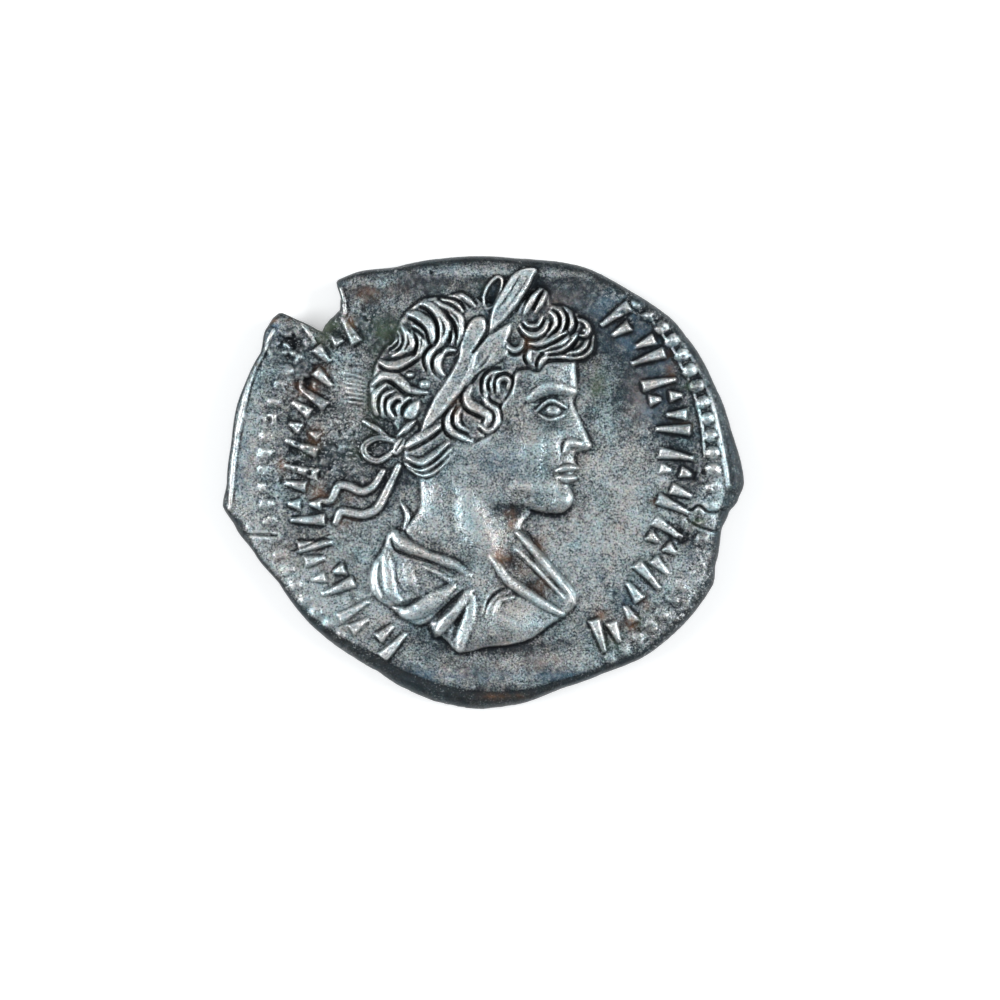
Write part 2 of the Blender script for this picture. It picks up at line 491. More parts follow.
wreath = {
    # leaves: outline points from the root to the tip and back
    "leaves": [
        ((-2.45, 2.1), (-1.98, 3.2), (-1.5, 3.95), (-1.2, 4.45), (-1.02, 4.85), (-0.98, 5.2),
         (-0.72, 5.95), (-0.4, 6.33), (0.0, 6.32), (0.06, 5.85), (-0.2, 5.3), (-0.3, 4.5),
         (-0.5, 4.0), (-1.2, 3.05), (-2.2, 2.05)),
        ((-0.8, 3.55), (-0.5, 4.7), (-0.42, 5.05), (0.0, 5.6), (0.42, 5.83), (1.0, 6.15),
         (1.0, 5.7), (0.85, 5.3), (0.95, 4.95), (0.6, 4.6), (0.1, 4.35), (-0.25, 4.15)),
        ((0.12, 5.7), (0.25, 6.6), (0.5, 7.1), (0.8, 7.6), (1.05, 7.95), (1.5, 8.2), (1.98, 8.18),
         (1.86, 7.85), (1.72, 7.5), (1.3, 6.85), (1.02, 6.5), (0.7, 6.15)),
        ((-3.12, 2.5), (-2.95, 2.95), (-2.5, 3.2), (-2.45, 2.85), (-2.7, 2.4)),
        ((-3.4, 1.75), (-3.0, 2.3), (-2.6, 2.4), (-2.9, 1.95)),
    ],
    "step": 0.38, "stepEdge": 0.11, "dome": 0.06, "domeEdge": 0.6,
    "smallLeaf": ((-0.05, 7.1), (0.1, 7.5), (0.45, 7.86), (0.66, 7.75), (0.6, 7.35), (0.3, 6.75),
                  (0.02, 6.7), (-0.05, 7.1)),
    # width, rise, points
    "veins": [
        (0.10, 0.04, (0.6, 6.5), (1.1, 7.15), (1.6, 7.85)),
        (0.26, 0.08, (0.55, 5.95), (1.02, 6.62), (1.42, 7.2), (1.75, 7.8), (1.9, 8.1)),
        (0.24, 0.06, (-1.35, 3.15), (-0.7, 4.0), (-0.45, 4.6), (-0.35, 5.0)),
        (0.12, 0.05, (-0.35, 5.2), (-0.05, 5.7), (0.1, 6.3)),
        (0.10, 0.05, (-2.35, 2.3), (-1.72, 3.65), (-1.25, 4.5)),
    ],
    "slits": [
        (0.15, 0.26, (-0.45, 4.98), (-0.12, 5.42), (0.1, 5.75), (0.16, 6.4)),
        (0.12, 0.10, (0.3, 5.7), (0.6, 6.0), (1.05, 6.3)),
        (0.14, 0.06, (0.45, 6.6), (0.85, 7.1), (1.35, 7.9)),
        (0.14, 0.05, (-0.45, 4.15), (0.0, 4.6), (0.4, 5.3)),
    ],
}

tie = {
    "ribbons": [
        (1, 0.36, 0.24, [(-6.3, -0.68), (-5.9, -0.66), (-5.6, -0.12), (-5.2, -0.12), (-4.7, -0.32),
                         (-4.25, -0.1), (-3.9, 0.45)], None),
        (1, 0.38, 0.24, [(-5.7, -1.5), (-5.5, -1.1), (-5.1, -1.15), (-4.6, -1.2), (-4.1, -0.95),
                         (-3.75, -0.3), (-3.3, 0.65)], None),
    ],
    "loops": [
        (1, 0.28, 0.26, [(-3.4, 1.6), (-4.1, 1.72), (-4.62, 1.4), (-4.5, 1.0), (-4.05, 0.85),
                         (-3.5, 1.2)], None),
        (1, 0.22, 0.22, [(-4.62, 2.35), (-4.1, 2.05), (-3.6, 1.62)], None),
        (1, 0.44, 0.34, [(-3.4, 1.2), (-3.15, 1.65)], None),
    ],
}


def listed(rows, ends=0.6, section="round"):
    # Rows of width, rise and points, each one stroke.
    return [stroke(points, width, rise, ends, section) for width, rise, *points in rows]


def spread(rows, ends=0.7, section="round"):
    # Each row is one stroke, or a fan where it gives a last curve.
    strokes = []
    for count, width, rise, first, last in rows:
        strokes += fan(count, width, rise, first, first if last is None else last, ends, section)
    return strokes


def raisedPart(part):
    return mass(part["outline"], part["step"], part["stepEdge"], part["dome"], part["domeEdge"])


blend = {
    "inside": 0.1,  # a mass this high takes its details in full
    "cordBlur": 0.12,
    "underHair": 0.17, "hairLift": 0.12,  # what stands over this lifts the hair, up to this much
    "hairEdge": 0.05,
    "knobReach": 0.03, "knobRise": 0.2,
    "foldsPast": 1.4,  # folds that run past the bust stand higher
    "leafSunk": 0.02,  # every second leaf lies lower
    "leafLine": 0.15, "leafRise": 0.24,
}


def within(base):
    return np.clip(base / blend["inside"], 0, 1)


def portraitLayers():
    # Mass plus strokes for each part, then the highest of them.
    faceBase = raisedPart(face)
    faceLayer = faceBase + within(faceBase) * (carved(face["features"]) + patches(face["swells"]))

    neckBase = raisedPart(neck)
    cords = softened(carved(listed(neck["cords"], 0.6)), blend["cordBlur"])
    neckLayer = neckBase + within(neckBase) * (patches(neck["swells"]) + cords)

    hairBase = raisedPart(hair)
    inHair = within(hairBase)
    under = np.maximum(faceLayer, neckLayer) - blend["underHair"]
    ground = hairBase + inHair * np.clip(under, 0, blend["hairLift"])
    locks = listed(hair["locks"], 0.55, "lip")
    reach = blend["knobReach"]
    knobs = [
        stroke([(x - reach, y), (x + reach, y)], 2 * size, blend["knobRise"], 0)
        for x, y, size in hair["knobs"]
    ]
    hairLayer = ground + np.maximum(carved(locks), carved(knobs))
    hairLayer -= np.minimum(grooves(locks, hair["groove"]), ground)
    faceLayer *= 1 - softened(inHair, blend["hairEdge"])

    bustBase = raisedPart(bust)
    folds = carved(listed(bust["folds"], 0.5))
    bustLayer = bustBase + within(bustBase) * patches(bust["swells"])
    bustLayer += np.where(bustBase > 0, folds, folds * blend["foldsPast"])
    bustLayer -= np.minimum(carved(listed(bust["valleys"], 0.5)), bustLayer)

    wreathLayer = np.zeros(gridX.shape)
    for i, leaf in enumerate(wreath["leaves"]):
        step = wreath["step"] - blend["leafSunk"] * (i % 2)
        one = mass(leaf, step, wreath["stepEdge"], wreath["dome"], wreath["domeEdge"])
        wreathLayer = np.maximum(wreathLayer, one)
    marks = carved(listed(wreath["veins"], 0.3)) - carved(listed(wreath["slits"], 0.3))
    wreathLayer += np.where(wreathLayer > blend["inside"], marks, 0)
    outlined = carved([stroke(wreath["smallLeaf"], blend["leafLine"], blend["leafRise"], 0.0)])
    wreathLayer = np.maximum(wreathLayer, outlined)

    tieLayer = carved(spread(tie["ribbons"], 0.3, "flat") + spread(tie["loops"], 0.3, "split"))
    layers = [faceLayer, neckLayer, bustLayer, hairLayer, wreathLayer, tieLayer]
    return np.maximum(np.maximum.reduce(layers), 0)


# Legend and border

legend = {
    "centre": (0.15, 0.50), "radius": 7.18, "bow": 0.45, "height": 1.30, "pitch": 1.42,
    "width": 0.36, "rise": 0.24, "lean": 0.24, "flare": 0.42, "spans": ((244, 121), (53, -67)),
}
border = {
    "centre": (0.15, 0.50), "radius": 8.60, "pitch": 0.66, "size": 0.56, "long": 0.14,
    "rise": 0.24,
    # degrees, how well the beads are kept
    "kept": [
        (0, 0.9), (44, 1.0), (52, 0.25), (64, 0.0), (130, 0.0), (150, 0.20), (170, 0.34),
        (188, 0.42), (200, 0.30), (212, 0.36), (228, 0.30), (242, 0.0), (292, 0.0), (305, 0.25),
        (322, 0.35), (340, 0.12), (354, 0.20), (360, 0.9),
    ],
    # width, rise, points
    "lines": [
        (0.15, 0.13, (6.40, 6.20), (6.62, 5.92), (7.2, 5.1), (7.55, 4.4), (7.8, 3.95)),
        (0.15, 0.13, (7.98, 3.55), (8.1, 3.1), (8.3, 2.3), (8.38, 1.5), (8.42, 0.95)),
        (0.15, 0.13, (7.2, 5.85), (7.75, 5.1), (8.05, 4.6), (8.35, 4.0), (8.62, 3.35)),
        (0.24, 0.18, (8.42, 3.8), (8.62, 3.35), (8.78, 2.8), (8.98, 1.8), (9.12, 1.1),
         (9.27, 0.3), (9.34, -0.3), (9.25, -0.75)),
        (0.22, 0.14, (-5.52, 7.45), (-5.42, 7.0), (-5.38, 6.5), (-5.5, 6.1)),
        (0.22, 0.12, (-7.0, 6.1), (-6.75, 5.75), (-6.5, 5.35)),
        (0.26, 0.16, (-8.1, 5.85), (-8.36, 5.3), (-8.62, 4.8), (-8.93, 4.2), (-9.2, 3.2),
         (-9.42, 2.2), (-9.58, 1.2), (-9.67, 0.3), (-9.72, -0.4), (-9.78, -1.05)),
    ],
}
# Cells of the legend: parallel wedges, each with its place along the arc, its narrow end and its
# wide end, as shares of pitch and height
legendCells = (
    ((-0.30, -0.46, 0.46), (0.12, -0.46, 0.04)), ((-0.28, 0.46, -0.10), (0.14, 0.46, -0.46)),
    ((-0.32, -0.05, 0.46), (0.08, -0.46, 0.46)), ((-0.26, -0.46, 0.12), (0.16, -0.04, 0.46)),
    ((-0.22, 0.46, -0.46), (0.20, 0.44, 0.14), (0.24, -0.18, -0.46)),
)


def onRing(centre, radius, angle):
    return np.array((centre[0] + radius * math.cos(angle), centre[1] + radius * math.sin(angle)))


def legendStrokes(row):
    # Cell after cell along each arc, clockwise, turned with the arc, and farther out by the bow at
    # both ends. Each wedge leans by the same share of the pitch, so no two of them form a letter.
    strokes = []
    step = row["pitch"] / row["radius"]
    for start, end in row["spans"]:
        count = int(math.radians(start - end) / step)
        for i in range(count):
            middle = math.radians(start) - (i + 0.5) * step
            radius = row["radius"] + row["bow"] * (2 * i / (count - 1) - 1) ** 2
            for u, first, last in legendCells[(2 * i + i // 3) % len(legendCells)]:
                points = []
                for v in (first, (first + last) / 2, last):
                    turn = middle - (u + row["lean"] * v) * step
                    points.append(onRing(row["centre"], radius + v * row["height"], turn))
                strokes.append(stroke(points, row["width"], row["rise"], row["flare"], "wedge"))
    return strokes


def beadStrokes(ring):
    # Very short strokes outward, at an even pitch round a circle, each as high as it is kept.
    count = round(2 * math.pi * ring["radius"] / ring["pitch"])
    kept = np.array(ring["kept"], float)
    strokes = []
    for i in range(count):
        turn = 360 * i / count
        share = float(np.interp(turn, kept[:, 0], kept[:, 1]))
        if share > 0.02:
            radii = (ring["radius"] - ring["long"] / 2, ring["radius"] + ring["long"] / 2)
            ends = [onRing(ring["centre"], radius, math.radians(turn)) for radius in radii]
            width = ring["size"] * (0.75 + 0.25 * share)
            strokes.append((np.array(ends), width, ring["rise"] * share, 0.0, "round"))
    return strokes


wear = {
    # height, size, seed, octaves
    "undulation": (0.022, 2.2, 3, 2),  # the field's slow waves
    "peel": (0.016, 0.24, 13, 2),  # small bumps all over
    "grain": (0.005, 0.09, 11, 2),
    "streaks": (0.034, 0.20, 5, 3),  # flow lines and corrosion
    "broken": (0.8, 0.32, 19, 3),  # how unevenly border and legend are kept
    "ragged": (1.1, 0.34, 17, 3),  # how unevenly the eaten places go in
    "dents": (1.0, 0.20, 61, 2),
    "dentShare": 0.16,  # of the relief
    "streakLength": 2.2,
    "pits": (0.05, 0.45, 0.26, 7),  # depth, level, size, seed
    "edgeKept": 0.92, "edgeRange": (0.05, 1.15),
    "legendWorn": 0.2, "legendLeast": 0.25,
    "fieldHeight": 0.12,  # relief this high no longer counts as field
    "blur": 0.020,
    # x, y, half width, half height, depth: corroded places
    "eaten": [
        (-7.45, 5.35, 0.50, 0.38, 0.17), (-6.85, 3.8, 0.45, 0.36, 0.20), (-8.25, 2.5, 0.33, 0.2, 0.13),
        (-7.3, 1.35, 0.45, 0.30, 0.13), (-7.55, 4.75, 0.42, 0.17, 0.12), (-6.5, 4.45, 0.5, 0.12, 0.10),
        (-5.3, 0.2, 0.5, 0.3, 0.05), (7.6, -2.0, 0.6, 0.35, 0.09), (7.9, 0.35, 0.55, 0.25, 0.08),
        (-5.2, -4.4, 0.4, 0.16, 0.06), (8.2, -1.3, 0.5, 0.25, 0.05), (1.7, -8.1, 0.08, 0.16, 0.15),
        (-3.9, 5.6, 0.5, 0.6, 0.05), (5.2, -3.4, 0.35, 0.4, 0.04),
    ],
    # short parallel scratches: count, width, rise, first, last
    "hatch": (7, 0.13, 0.10, [(-5.42, 4.20), (-5.0, 4.12), (-4.52, 3.98)],
              [(-5.25, 3.12), (-4.95, 3.08), (-4.55, 3.02)]),
}
# Cracks: points, width, depth
cracks = [
    ([(-9.75, -1.95), (-8.6, -1.98), (-7.9, -2.0)], 0.10, 0.22),
    ([(-7.5, -2.62), (-7.0, -2.5), (-6.5, -2.25), (-5.9, -1.95)], 0.08, 0.14),
    ([(9.8, -1.0), (9.2, -1.05), (8.6, -1.12), (8.2, -0.85), (7.95, -1.02), (7.8, -1.0)],
     0.11, 0.24),
    ([(7.72, -1.38), (8.1, -1.62), (8.6, -1.8), (8.95, -1.9)], 0.09, 0.16),
]


def obverseHeights():
    # The highest of portrait, legend and border, less the cracks, plus the wear.
    top = portraitLayers()
    beads = carved(beadStrokes(border))
    lines = carved(listed(border["lines"], 0.45))
    wedges = carved(legendStrokes(legend))
    rough = np.clip(patches(toning["flecked"]), 0, 1)
    broken = waves(wear["broken"])
    kept = np.clip(wear["edgeKept"] + broken * (0.3 + 0.7 * rough), *wear["edgeRange"])
    wedges *= np.clip(1 - rough * (wear["legendWorn"] + broken), wear["legendLeast"], 1)
    relief = np.maximum.reduce([top, wedges, np.maximum(beads, lines) * kept])
    relief *= 1 + wear["dentShare"] * (0.1 + rough) * waves(wear["dents"])
    relief -= carved([stroke(points, width, depth, 0.5) for points, width, depth in cracks])
    field = np.exp(-((relief / wear["fieldHeight"]) ** 2))  # 1 on the open field, 0 on the relief
    streaks = waves(wear["streaks"], wear["streakLength"]) * rough
    eaten = patches(wear["eaten"]) * (1 + waves(wear["ragged"]))
    hatch = carved(fan(*wear["hatch"]))
    relief += waves(wear["undulation"]) + waves(wear["peel"]) + waves(wear["grain"]) + hatch
    relief += (streaks - pits(wear["pits"]) * (0.2 + 1.8 * rough)) * (0.35 + 0.65 * field) - eaten
    return softened(relief, wear["blur"])


# Reverse, seen from its own side

figure = {
    "robeRise": 0.15, "bodyRise": 0.26, "edge": 0.30,
    "robe": (
        (-0.9, 3.6), (-1.5, 2.9), (-1.6, 1.5), (-1.2, 0.4), (-1.6, -1.5), (-1.9, -4.6),
        (-0.6, -5.0), (0.8, -5.0), (1.9, -4.6), (1.5, -1.5), (1.25, 0.4), (1.6, 1.5), (1.5, 2.9),
        (0.9, 3.6),
    ),
    "trunk": (
        (-0.8, 3.7), (-1.45, 2.9), (-1.5, 1.5), (-1.1, 0.5), (0.0, 0.2), (1.1, 0.5), (1.5, 1.5),
        (1.45, 2.9), (0.8, 3.7),
    ),
    "head": ((-0.75, 4.6), (-0.6, 5.3), (0.0, 5.6), (0.65, 5.3), (0.8, 4.6), (0.4, 3.95),
             (-0.4, 3.95)),
    "folds": [
        (6, 0.32, 0.09, [(-0.8, 0.6), (-1.05, -1.5), (-1.5, -4.8)],
         [(0.8, 0.6), (1.05, -1.5), (1.5, -4.8)]),
    ],
    "limbs": [
        (1, 0.34, 0.24, [(-3.0, 5.4), (-2.9, 0.0), (-3.0, -5.2)], None),
        (1, 0.60, 0.24, [(-1.3, 2.7), (-2.1, 2.2), (-2.9, 2.7)], None),
        (1, 0.60, 0.24, [(1.3, 2.7), (2.2, 1.9), (2.9, 2.6)], None),
        (1, 0.28, 0.22, [(2.7, 0.6), (3.0, 2.6), (3.3, 4.8)], None),
        (1, 0.34, 0.24, [(-4.2, -5.4), (4.2, -5.4)], None),
        (4, 0.34, 0.20, [(2.95, 2.9), (2.4, 3.3)], [(3.15, 4.3), (2.7, 4.8)]),
        (4, 0.34, 0.20, [(3.0, 2.8), (3.7, 3.0)], [(3.2, 4.2), (3.95, 4.5)]),
    ],
}
reverseLegend = {
    "centre": (0.0, 0.0), "radius": 6.55, "bow": 0.0, "height": 1.20, "pitch": 1.42,
    "width": 0.36, "rise": 0.17, "lean": 0.24, "flare": 0.35, "spans": ((240, 118), (62, -60)),
}
reverseBorder = {
    "centre": (0.0, 0.0), "radius": 8.0, "size": 0.50, "pitch": 0.66, "long": 0.04, "rise": 0.15,
    "kept": [(0, 1.0), (360, 1.0)],
}


reverseWear = {
    "waves": (0.016, 1.8, 23, 3), "sunk": 0.012, "pits": (0.05, 0.7, 0.35, 29), "blur": 0.04,
}


def reverseHeights():
    # The figure, the legend and the border, cut level at the worn height that the coin lies on.
    robe = mass(figure["robe"], figure["robeRise"], figure["edge"])
    robe += carved(spread(figure["folds"], 0.3))
    trunk = mass(figure["trunk"], figure["bodyRise"], figure["edge"])
    head = mass(figure["head"], figure["bodyRise"], figure["edge"])
    limbs = carved(spread(figure["limbs"], 0.25))
    marks = carved(legendStrokes(reverseLegend) + beadStrokes(reverseBorder))
    relief = np.maximum.reduce([trunk, head, np.where(robe > 0.1, robe, 0), limbs, marks])
    relief += waves(reverseWear["waves"]) - reverseWear["sunk"]
    relief -= pits(reverseWear["pits"])
    return np.minimum(softened(relief, reverseWear["blur"]), flan["reverseRelief"])


# Mesh

lattice = {
    "finest": 0.049, "fine": 0.070, "coarse": 0.11, "reverse": 0.17, "rimSteps": 720,
    "finestOver": 0.42, "fineOver": 0.06,  # share of steep places round a point
    "steep": 0.35, "around": 0.10,
}
rim = {
    "upperTurns": (10, 20, 30, 40, 50, 60, 70, 80, 90), "lowerTurns": (70, 50, 30, 15),  # degrees
    "wave": 0.05,  # of the widest line, up and down
    "chatter": 0.20, "chatterOut": 0.03, "chatterDown": 0.05,  # size, shares of the quarter circle
}


def loopPoints(degrees, radius):
    angle = np.radians(degrees)
    return np.stack([radius * np.cos(angle), radius * np.sin(angle)], 1)


def hexagonal(spacing):
    # Rows of points a spacing apart, every second row half a spacing over.
    rows = np.arange(-canvas["halfY"], canvas["halfY"], spacing * math.sqrt(0.75))
    cols = np.arange(-canvas["halfX"], canvas["halfX"], spacing)
    x = cols[None, :] + (np.arange(len(rows)) % 2)[:, None] * spacing / 2
    y = np.repeat(rows[:, None], len(cols), axis=1)
    return np.stack([x.ravel(), y.ravel()], 1)


def joinedFace(degrees, column, points, clearance):
    # The points inside the edge and the edge itself, joined into triangles by Delaunay's rule.
    edge = loopPoints(degrees, edgeRadii(degrees)[column])
    own = edgeRadii(np.degrees(np.arctan2(points[:, 1], points[:, 0])))[column]
    points = points[np.hypot(points[:, 0], points[:, 1]) < own - clearance]
    spots = np.concatenate([edge, points])
    found = geometry.delaunay_2d_cdt(
        [Vector(spot) for spot in spots.tolist()], [], [list(range(len(edge)))], 1, 1e-6, True
    )
    flat = np.array([tuple(vert) for vert in found[0]])
    faces = np.array([tuple(corner) for corner in found[2]])
    middle = flat[faces].mean(1)
    within = edgeRadii(np.degrees(np.arctan2(middle[:, 1], middle[:, 0])))[column]
    outside = np.all(faces < len(edge), axis=1) & (np.hypot(*middle.T) > within)
    return flat, faces[~outside]


def coinSurface(obverse, reverse):
    # Height over both faces, and between them rings whose width follows a quarter circle out to
    # the widest line and back in.
    steep = np.hypot(*np.gradient(softened(obverse, 0.03), canvas["step"]))
    busy = softened((steep > lattice["steep"]).astype(float), lattice["around"])
    tiers = []
    for spacing, least, most in (
        (lattice["finest"], lattice["finestOver"], 9),
        (lattice["fine"], lattice["fineOver"], lattice["finestOver"]),
        (lattice["coarse"], -9, lattice["fineOver"]),
    ):
        points = hexagonal(spacing)
        level = sample(busy, *points.T)
        tiers.append(points[(level > least) & (level <= most)])
    degrees = np.arange(lattice["rimSteps"]) * 360 / lattice["rimSteps"]
    girth, faceEdge, backEdge = edgeRadii(degrees)
    top, topFaces = joinedFace(degrees, 1, np.vstack(tiers), 0.05)
    low, lowFaces = joinedFace(degrees, 2, hexagonal(lattice["reverse"]), 0.08)
    topEdge = edgeRadii(np.degrees(np.arctan2(top[:, 1], top[:, 0])))[1] - np.hypot(*top.T)
    fall = flan["edgeFall"] * np.clip(1 - topEdge / flan["edgeFallWidth"], 0, 1) ** 2
    topZ = flan["reverseRelief"] + flan["thickness"] + sample(obverse, *top.T) - fall
    lowZ = flan["reverseRelief"] - sample(reverse, -low[:, 0], low[:, 1])
    girthZ = flan["reverseRelief"] + flan["girth"] * flan["thickness"]
    girthZ = girthZ + rim["wave"] * softNoise(*loopPoints(degrees, 8).T, 1.5, 31, 2)
    count = lattice["rimSteps"]
    blocks = [np.column_stack([top, topZ]), np.column_stack([low, lowZ])]
    starts = [0]
    size = len(top) + len(low)
    for firstZ, edge, turns in (
        (topZ[:count], faceEdge, rim["upperTurns"]), (lowZ[:count], backEdge, rim["lowerTurns"]),
    ):
        for turn in turns:
            out = math.sin(math.radians(turn))
            down = 1 - math.cos(math.radians(turn))
            ring = loopPoints(degrees, edge + (girth - edge) * out)
            chatter = softNoise(*ring.T, rim["chatter"], 37, 3) * (turn < 90)
            ring = loopPoints(degrees, edge + (girth - edge) * (out + rim["chatterOut"] * chatter))
            ringZ = firstZ + (girthZ - firstZ) * (down + rim["chatterDown"] * chatter)
            blocks.append(np.column_stack([ring, ringZ]))
            starts.append(size)
            size += count
    starts.append(len(top))
    around = np.arange(count)
    ahead = (around + 1) % count
    rings = []
    for upper, lower in zip(starts[:-1], starts[1:]):
        rings.append(np.stack([upper + around, lower + around, lower + ahead], 1))
        rings.append(np.stack([upper + around, lower + ahead, upper + ahead], 1))
    faces = np.concatenate([topFaces, len(top) + lowFaces[:, ::-1]] + rings)
    points = np.concatenate(blocks)
    middle = (points[:, :2].max(0) + points[:, :2].min(0)) / 2
    return points, faces, middle, len(top), len(low)


def meshFrom(name, points, faces):
    mesh = bpy.data.meshes.new(name)
    mesh.vertices.add(len(points))
    mesh.vertices.foreach_set("co", points.astype(np.float32).ravel())
    mesh.loops.add(faces.size)
    mesh.loops.foreach_set("vertex_index", faces.astype(np.int32).ravel())
    mesh.polygons.add(len(faces))
    mesh.polygons.foreach_set("loop_start", np.arange(0, faces.size, 3, dtype=np.int32))
    mesh.update(calc_edges=True)
    mesh.shade_smooth()
    piece = bpy.data.objects.new(name, mesh)
    bpy.context.scene.collection.objects.link(piece)
    return piece


def addAttribute(piece, name, values):
    layer = piece.data.attributes.new(name, "FLOAT", "POINT")
    layer.data.foreach_set("value", values.astype(np.float32))


# Toning: where the surface is dark, worn, rusty, green or blue

